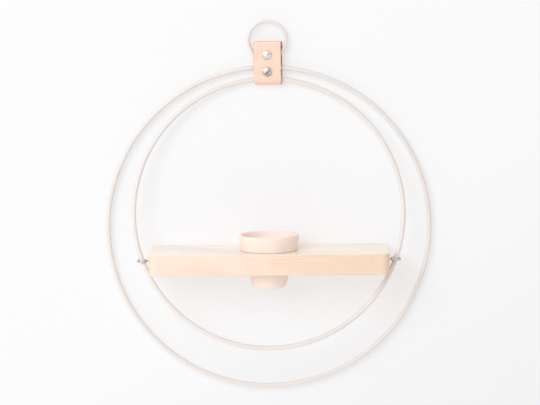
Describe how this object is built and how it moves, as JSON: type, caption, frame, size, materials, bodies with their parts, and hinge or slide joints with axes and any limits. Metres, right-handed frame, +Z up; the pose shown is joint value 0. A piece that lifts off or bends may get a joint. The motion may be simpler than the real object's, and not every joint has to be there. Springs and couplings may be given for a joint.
{
  "type": "air plant holder",
  "caption": "Wall holder for a small potted plant: nested wire hoops on a riveted leather strap, with a wooden shelf on screw eyes and a clay pot set in it.",
  "frame": {"origin": "where the nail bears on the inside top of the hanging ring", "axes": "+Z up, +X to the right seen from the front, front faces -Y, +Y points into the wall"},
  "size_m": [0.3048, 0.07, 0.3466],
  "materials": {
    "white_wire": "satin powder coat",
    "strap_leather": "natural vegetable-tanned, burnished edges",
    "nickel": "polished nickel",
    "maple": "clear matt oil",
    "zinc": "bright zinc",
    "blush_clay": "matt unglazed"
  },
  "bodies": {
    "ring": {"hanging_ring": "white_wire"},
    "strap": {"leather_strap": "strap_leather", "upper_rivet_cap": "nickel", "upper_rivet_post": "nickel", "lower_rivet_cap": "nickel", "lower_rivet_post": "nickel"},
    "large_hoop": {"outer_hoop": "white_wire"},
    "small_hoop": {"inner_hoop": "white_wire"},
    "shelf": {"shelf_board": "maple", "left_screw_eye": "zinc", "right_screw_eye": "zinc"},
    "pot": {"pot": "blush_clay"}
  },
  "joints": [
    {"name": "strap_swing", "type": "hinge", "parent": "ring", "child": "strap", "pos_m": [0, 0, -0.01585], "axis": [0, 1, 0], "range_deg": [-110, 110]},
    {"name": "large_hoop_swing", "type": "hinge", "parent": "strap", "child": "large_hoop", "pos_m": [0, 0, -0.0408], "axis": [-1, 0, 0], "range_deg": [-0.7, 40]},
    {"name": "small_hoop_swing", "type": "hinge", "parent": "strap", "child": "small_hoop", "pos_m": [0, 0, -0.05175], "axis": [-1, 0, 0], "range_deg": [0, 30]},
    {"name": "shelf_tilt", "type": "hinge", "parent": "small_hoop", "child": "shelf", "pos_m": [0, -0.0287, -0.2175], "axis": [1, 0, 0], "range_deg": [-35, 10]},
    {"name": "pot_lift", "type": "slide", "parent": "shelf", "child": "pot", "axis": [0, 0, 1], "range_m": [0, 0.06]}
  ]
}
